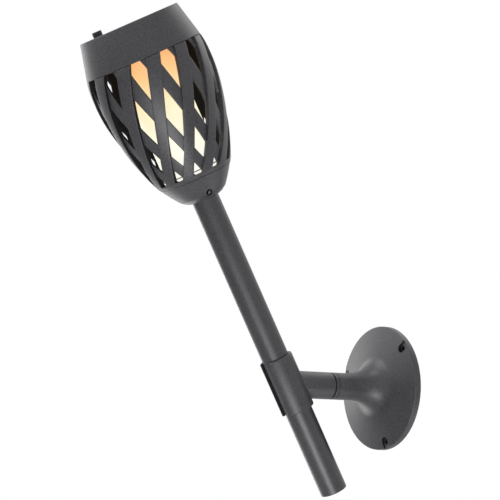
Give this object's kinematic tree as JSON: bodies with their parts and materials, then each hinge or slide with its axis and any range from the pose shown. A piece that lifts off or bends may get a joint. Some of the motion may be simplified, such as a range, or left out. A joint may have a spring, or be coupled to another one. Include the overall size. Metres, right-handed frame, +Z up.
{
  "type": "torch sconce",
  "caption": "Wall torch light: a round flared wall plate carries a swivelling arm and a slotted clip that holds a leaning torch with a basket of crossed strips round a glowing tube.",
  "frame": {"origin": "centre of the wall plate's back, in the plane of the wall and at the centre of the three wall screws", "axes": "+Z up along the wall; +Y into the wall, along the arm and the swivel's axis; +X to the right for someone who faces the wall. The torch stands out to -Y and leans 28 degrees from the wall."},
  "size_m": [0.122, 0.3344, 0.4614],
  "materials": {
    "anthracite_plastic": "satin moulded plastic, dark anthracite grey",
    "swivel_plastic": "satin moulded plastic",
    "pole_plastic": "smooth satin tube, dark anthracite grey",
    "black_plastic": "matt black moulded plastic",
    "black_steel": "blackened steel screw",
    "brass": "turned brass",
    "zinc_steel": "zinc-plated steel",
    "white_plastic": "matt white moulded plastic",
    "frosted_plastic": "frosted translucent plastic, lit from inside, orange at the top to pale yellow below",
    "white_board": "white solder mask",
    "lamp_resin": "yellow lamp resin",
    "solar_silicon": "dark blue-black silicon cells",
    "clear_resin": "clear cast resin, glossy",
    "battery_wrap": "plain shrink sleeve",
    "green_board": "green solder mask",
    "button_rubber": "matt black rubber"
  },
  "bodies": {
    "bracket": {"wall_plate": "anthracite_plastic", "swivel_ring": "swivel_plastic"},
    "arm": {"arm_stub": "anthracite_plastic", "swivel_insert": "brass", "swivel_bolt": "zinc_steel", "spring_washer": "zinc_steel", "pole_clip": "anthracite_plastic", "clip_screws": "zinc_steel"},
    "torch": {"pole_tube": "pole_plastic", "pole_end_plug": "black_plastic", "base_cup": "anthracite_plastic", "pole_lock_screw": "black_steel", "lamp_base": "frosted_plastic", "lamp_base_screws": "zinc_steel", "strip_basket": "anthracite_plastic", "diffuser_tube": "frosted_plastic", "lamp_column": "white_plastic", "lamp_boards": "white_board", "lamps": "lamp_resin", "cap_plate": "black_plastic", "cap_screws": "zinc_steel", "top_cap": "anthracite_plastic", "solar_cells": "solar_silicon", "solar_window": "clear_resin", "battery": "battery_wrap", "battery_cradle": "black_plastic", "battery_contacts": "zinc_steel", "control_board": "green_board", "board_parts": "black_plastic", "switch_body": "black_plastic"},
    "button": {"push_button": "button_rubber"}
  },
  "joints": [
    {"name": "arm_swivel", "type": "hinge", "parent": "bracket", "child": "arm", "pos_m": [0, -0.0663, 0], "axis": [0, -1, 0], "continuous": true},
    {"name": "pole_slide", "type": "slide", "parent": "arm", "child": "torch", "axis": [0, -0.4695, 0.8829], "range_m": [-0.095, 0.085]},
    {"name": "button_press", "type": "slide", "parent": "torch", "child": "button", "axis": [0, 0.4695, -0.8829], "range_m": [0, 0.0015], "stiffness_N_per_m": 600, "springref_m": -0.0008}
  ]
}
